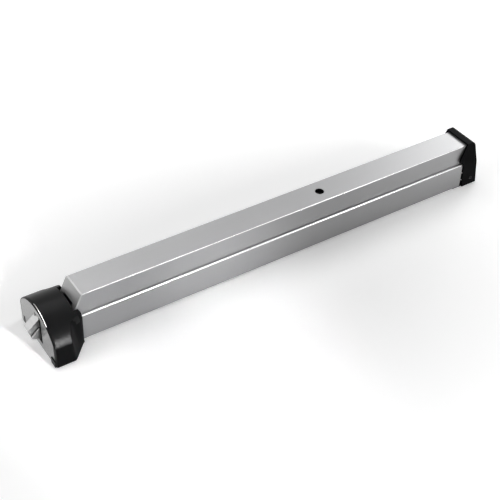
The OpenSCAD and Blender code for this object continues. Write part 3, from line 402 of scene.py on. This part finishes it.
def head_side(bm, rows, side):
    """One half of the cover's skin, side -1 or 1."""
    def pt(x, row, inset=0.0):
        return at(x, side * (row[0] - inset * row[2][0]), row[1] - inset * row[2][1])

    def row_end(row):
        if row[3] == "foot":
            return SCOOP[0][1] + FOOT_LEAN * (1 - row[1] / FOOT_Z)
        return min(along(SCOOP, row[0]), SLOT_X)

    def rim(row):
        y = min(row[0] - PLATE_IN * row[2][0], PLATE_Y)
        z = row[1] - PLATE_IN * row[2][1]
        mid = along(FACET_X, row[0])
        rim_points = RIM_FRONT + tuple((mid + dx, k) for dx, k in FACET) + ((RIM_END, 1.0),)
        return [at(x, side * y, z).lerp(at(x, side * row[0], row[1]), k) for x, k in rim_points]

    grid(bm, [rim(r) + [pt(x, r) for x in steps(RIM_END, row_end(r), COVER_ROWS)[1:]] for r in rows])
    # arms on both sides of the slot
    arm_rows = [r for r in rows if r[3] in ("scoop", "arm") and along(SCOOP, r[0]) > SLOT_X - ARM_LEAD]
    ends = []
    for r in arm_rows:
        ends.append(min(along(SCOOP, r[0]), neck_end(r[1])) if r[3] == "scoop" else neck_end(r[1]))
    grid(bm, [[pt(x, r) for x in steps(min(row_end(r), e), e, ARM_ROWS)] for r, e in zip(arm_rows, ends)])
    # scooped corner and the neck's side
    foot = [r for r in rows if r[3] == "foot"]
    left = [pt(row_end(r), r) for r in foot]
    top_rows = [foot[-1]] + [r for r in rows if r[3] == "scoop"] + [next(r for r in rows if r[3] == "arm")]
    top = []
    for r in top_rows:
        x = row_end(r) if r in foot else min(along(SCOOP, r[0]), neck_end(r[1]))
        top.append(pt(neck_end(r[1]) if r[3] == "arm" else x, r))
    ground = [at(x, side * y, 0) for x, y in GROUND]
    bottom = [point_at(ground, f) for f in arc_fractions(top)]
    right = []
    for f in arc_fractions(left):
        z = top_rows[-1][1] * f
        right.append(at(neck_end(z), side * (NECK_Y + (NECK_TOP_Y - NECK_Y) * f), z))
    grid(bm, coons(left, top, bottom, right))
    # end wall round the rail and the pad
    wall = []
    for p in right:
        z = p.z * 1000
        inner = RAIL_Y if z < RAIL_Z else SLOT_Y
        wall.append([p.lerp(at(neck_end(z), side * inner, z), f) for f in WALL_STEPS])
    tip = [r for r in rows if r[3] == "arm"]
    z0, z1 = tip[0][1], tip[-1][1]
    for r in tip[1:]:
        f = (r[1] - z0) / (z1 - z0)
        goal = at(neck_end(z0 + (z1 - z0) * f), side * SLOT_Y, z0 + (z1 - z0) * f)
        wall.append([pt(neck_end(r[1]), r).lerp(goal, k) for k in WALL_STEPS])
    grid(bm, wall)


def block(bm, lo, hi):
    """Closed block between two corners given in millimetres along the bar."""
    a, b = at(*lo), at(*hi)
    for v in bmesh.ops.create_cube(bm, size=1)["verts"]:
        v.co = Vector([(a[k] + b[k]) / 2 + v.co[k] * abs(b[k] - a[k]) for k in range(3)])


def finish_mesh(name, bm, material):
    bmesh.ops.remove_doubles(bm, verts=bm.verts, dist=MERGE_DIST)
    bmesh.ops.recalc_face_normals(bm, faces=bm.faces)
    me = bpy.data.meshes.new(name)
    bm.to_mesh(me)
    bm.free()
    o = bpy.data.objects.new(name, me)
    scene.collection.objects.link(o)
    me.materials.append(MAT[material])
    for p in me.polygons:
        p.use_smooth = True
    return o


def head_cover():
    bm = bmesh.new()
    rows = head_rows()
    for side in (-1, 1):
        head_side(bm, rows, side)
    bmesh.ops.remove_doubles(bm, verts=bm.verts, dist=MERGE_DIST)
    bmesh.ops.recalc_face_normals(bm, faces=bm.faces)
    rim_line = at(RIM_END + RELAX_FROM, 0, 0).x
    relax(bm, RELAX_ROUNDS, lambda v: v.co.x < rim_line)
    o = finish_mesh("head_cover_skin", bm, "black")
    # slot 1 is the painted highlight on the rim's facet, slot 2 the painted shade on the rear and sides, a
    # darker, duller copy of the moulding with a coarser grain
    o.data.materials.append(MAT["rim_glint"])
    o.data.materials.append(MAT["black_shaded_flank"])
    for f in o.data.polygons:
        off = f.center.x - at(along(FACET_X, abs(f.center.y) * 1000), 0, 0).x
        glint_face = abs(off) < GLINT_HALF and f.normal.z > GLINT_UP
        if glint_face and f.center.z > GLINT_LOW and f.center.y < GLINT_FAR:
            f.material_index = 1
        elif f.normal.x > FLANK_REAR or (abs(f.normal.y) > FLANK_SIDE and f.center.z < FLANK_TOP):
            f.material_index = 2
    t = o.modifiers.new("wall", "SOLIDIFY")
    t.thickness = SKIN_T / 1000
    t.offset = -1
    t.use_even_offset = False
    soft_edges(o, width=0.0004, angle=55, segments=2)
    return o


skin = head_cover()
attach(skin, "frame")
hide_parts("head_cover")

# near hook in front of the end plate, far hook flush in the plate's notch and its foot behind the plate
LUGS = (((-1.6, -59.0, 0.0), (7.0, -45.0, 11.0)), ((0.0, 45.0, 0.0), (7.0, 50.0, 14.0)),
        ((2.7, 49.0, 0.0), (7.0, 59.0, 14.0)))


def head_lugs():
    bm = bmesh.new()
    for lo, hi in LUGS:
        block(bm, lo, hi)
    o = finish_mesh("head_cover_lugs", bm, "black")
    soft_edges(o, width=0.0008, angle=40, segments=4)
    return o


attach(head_lugs(), "frame")

# End cap screws with a hexagonal recess, in place of the plain CAD screws

SCREW_X, SCREW_Z, SCREW_FACE = 806.0, 13.0, 30.3
# from the shank's end to the bottom of the recess: distance from the face, radius, hexagonal or not
SCREW_RINGS = ((-6.4, 1.5, 0), (-6.2, 1.7, 0), (-1.4, 1.7, 0), (-0.1, 2.8, 0), (0.05, 2.85, 0),
               (0.18, 2.65, 0), (0.2, 1.65, 1), (0.1, 1.5, 1), (-0.9, 1.45, 1), (-1.05, 1.2, 1))
SCREW_SIDES = 36
# the corners of the recess lie at this multiple of a ring's radius
HEX_WIDE = 1.12


def cap_screws():
    bm = bmesh.new()
    for side in (-1, 1):
        rings = []
        for d, r, hexed in SCREW_RINGS:
            ring = []
            for k in range(SCREW_SIDES):
                a = 2 * math.pi * k / SCREW_SIDES
                wide = math.cos(math.pi / 6) / math.cos((a + math.pi / 6) % (math.pi / 3) - math.pi / 6)
                q = r * (wide * HEX_WIDE if hexed else 1)
                ring.append(bm.verts.new(at(SCREW_X + q * math.cos(a), side * (SCREW_FACE + d),
                                            SCREW_Z + q * math.sin(a))))
            rings.append(ring)
        for r0, r1 in zip(rings, rings[1:]):
            for k in range(SCREW_SIDES):
                n = (k + 1) % SCREW_SIDES
                bm.faces.new((r0[k], r0[n], r1[n], r1[k]))
        bm.faces.new(rings[0])
        bm.faces.new(rings[-1])
    o = finish_mesh("cap_screws", bm, "black_screw")
    soft_edges(o, width=0.00008, angle=35, segments=2)
    return o


screws = cap_screws()
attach(screws, "frame")
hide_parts("end_cap_screws")

# Return spring: a copy of the CAD spring's mesh, fixed to the frame in its place. On the device it shortens
# as the connecting bar's tab comes towards the spring's bracket; the copy keeps its length.

wire = bpy.data.objects.new("return_spring_wire", nodes["return_spring"].data.copy())
scene.collection.objects.link(wire)
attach(wire, "frame")
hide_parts("return_spring")
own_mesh(wire)

# Stage

# the world's strength as light and as seen; the floor's glow near the device and away from it, lower near the
# device as painted shade round it
WORLD_LIGHT, WORLD_SEEN = 0.01, 0.9
FLOOR_LIFT, FLOOR_LIFT_FAR = 0.22, 0.9
# where that glow changes, in metres from the device's middle, which is measured shorter along the bar
FLOOR_NEAR_FAR, FLOOR_MID, FLOOR_STRETCH = (0.16, 0.75), 0.38, 0.45
# the floor's half width, its height just under the device, and its grey
FLOOR_HALF, FLOOR_Z, FLOOR_GREY = 12, -0.0006, 0.97


def seen(nt, other, shown):
    """other for light that only falls on things, shown where the camera, gloss or glass sees the surface."""
    lp = nt.nodes.new("ShaderNodeLightPath")
    total = lp.outputs["Is Camera Ray"]
    for ray in ("Is Glossy Ray", "Is Transmission Ray"):
        mx = nt.nodes.new("ShaderNodeMath")
        mx.operation = "MAXIMUM"
        nt.links.new(total, mx.inputs[0])
        nt.links.new(lp.outputs[ray], mx.inputs[1])
        total = mx.outputs[0]
    return remap(nt, total, other, shown, 0, 1)


def add_floor():
    me = bpy.data.meshes.new("floor")
    corners = [(FLOOR_HALF * x, FLOOR_HALF * y, FLOOR_Z) for x, y in ((-1, -1), (1, -1), (1, 1), (-1, 1))]
    me.from_pydata(corners, [], [(0, 1, 2, 3)])
    o = bpy.data.objects.new("floor", me)
    scene.collection.objects.link(o)
    m = bpy.data.materials.new("floor_white")
    m.use_nodes = True
    nt = m.node_tree
    nt.nodes.clear()
    out = nt.nodes.new("ShaderNodeOutputMaterial")
    diff = nt.nodes.new("ShaderNodeBsdfDiffuse")
    diff.inputs[0].default_value = (FLOOR_GREY, FLOOR_GREY, FLOOR_GREY, 1)
    glow = nt.nodes.new("ShaderNodeEmission")
    add = nt.nodes.new("ShaderNodeAddShader")
    # the floor glows less near the device, a painted shade round it that the device's metal also reflects;
    # the real shadow shows there too, and further away the glow washes it out
    co = nt.nodes.new("ShaderNodeTexCoord")
    mp = nt.nodes.new("ShaderNodeMapping")
    mp.inputs["Location"].default_value = (-FLOOR_MID * FLOOR_STRETCH, 0, 0)
    mp.inputs["Scale"].default_value = (FLOOR_STRETCH, 1, 1)
    far = nt.nodes.new("ShaderNodeVectorMath")
    far.operation = "LENGTH"
    nt.links.new(co.outputs["Object"], mp.inputs["Vector"])
    nt.links.new(mp.outputs[0], far.inputs[0])
    lift = remap(nt, far.outputs["Value"], FLOOR_LIFT, FLOOR_LIFT_FAR, *FLOOR_NEAR_FAR)
    total = nt.nodes.new("ShaderNodeMath")
    total.operation = "MULTIPLY"
    nt.links.new(seen(nt, 0.0, 1.0), total.inputs[0])
    nt.links.new(lift, total.inputs[1])
    nt.links.new(total.outputs[0], glow.inputs["Strength"])
    nt.links.new(diff.outputs[0], add.inputs[0])
    nt.links.new(glow.outputs[0], add.inputs[1])
    nt.links.new(add.outputs[0], out.inputs[0])
    me.materials.append(m)


def add_world():
    w = bpy.data.worlds.new("studio")
    scene.world = w
    w.use_nodes = True
    nt = w.node_tree
    nt.nodes.clear()
    out = nt.nodes.new("ShaderNodeOutputWorld")
    soft = nt.nodes.new("ShaderNodeBackground")
    soft.inputs[0].default_value = (1, 1, 1, 1)
    nt.links.new(seen(nt, WORLD_LIGHT, WORLD_SEEN), soft.inputs[1])
    nt.links.new(soft.outputs[0], out.inputs[0])


# name, place, aim, width, watts, height or None for a square lamp, spread in degrees
LAMPS = (
    ("key", (-0.88, 0.22, 1.01), (0.05, 0, 0.04), 1.3, 6.5, 0.22, 180),
    ("top", (0.30, 0.95, 1.75), (0.40, 0, 0.0), 1.1, 8.4, None, 180),
    ("top_right", (1.40, 0.20, 1.50), (0.65, 0, 0.0), 0.8, 5, None, 180),
    ("back_right", (2.0, 0.75, 1.05), (0.75, 0, 0.05), 0.8, 10, None, 180),
    ("front", (0.31, -1.20, 0.62), (-0.04, -0.03, 0.04), 0.20, 0.30, 0.50, 10),
    ("side_pool", (0.22, -1.05, 0.32), (0.25, 0, 0.03), 0.16, 0.18, 0.16, 20),
    ("front_right", (1.30, -0.90, 0.50), (0.80, 0, 0.05), 0.30, 0.26, 0.30, 40),
    ("edge", (0.87, -0.80, 0.83), (0.87, 0.0, 0.04), 1.2, 1.0, 0.06, 180),
)


def add_lamp(name, loc, target, size, power, size_y, spread):
    d = bpy.data.lights.new(name, "AREA")
    d.energy = power
    d.size = size
    d.spread = math.radians(spread)
    if size_y:
        d.shape = "RECTANGLE"
        d.size_y = size_y
    o = bpy.data.objects.new(name, d)
    scene.collection.objects.link(o)
    o.location = loc
    o.rotation_euler = (Vector(target) - Vector(loc)).to_track_quat("-Z", "Y").to_euler()


add_floor()
add_world()
for lamp in LAMPS:
    add_lamp(*lamp)

scene.view_settings.view_transform = "Standard"
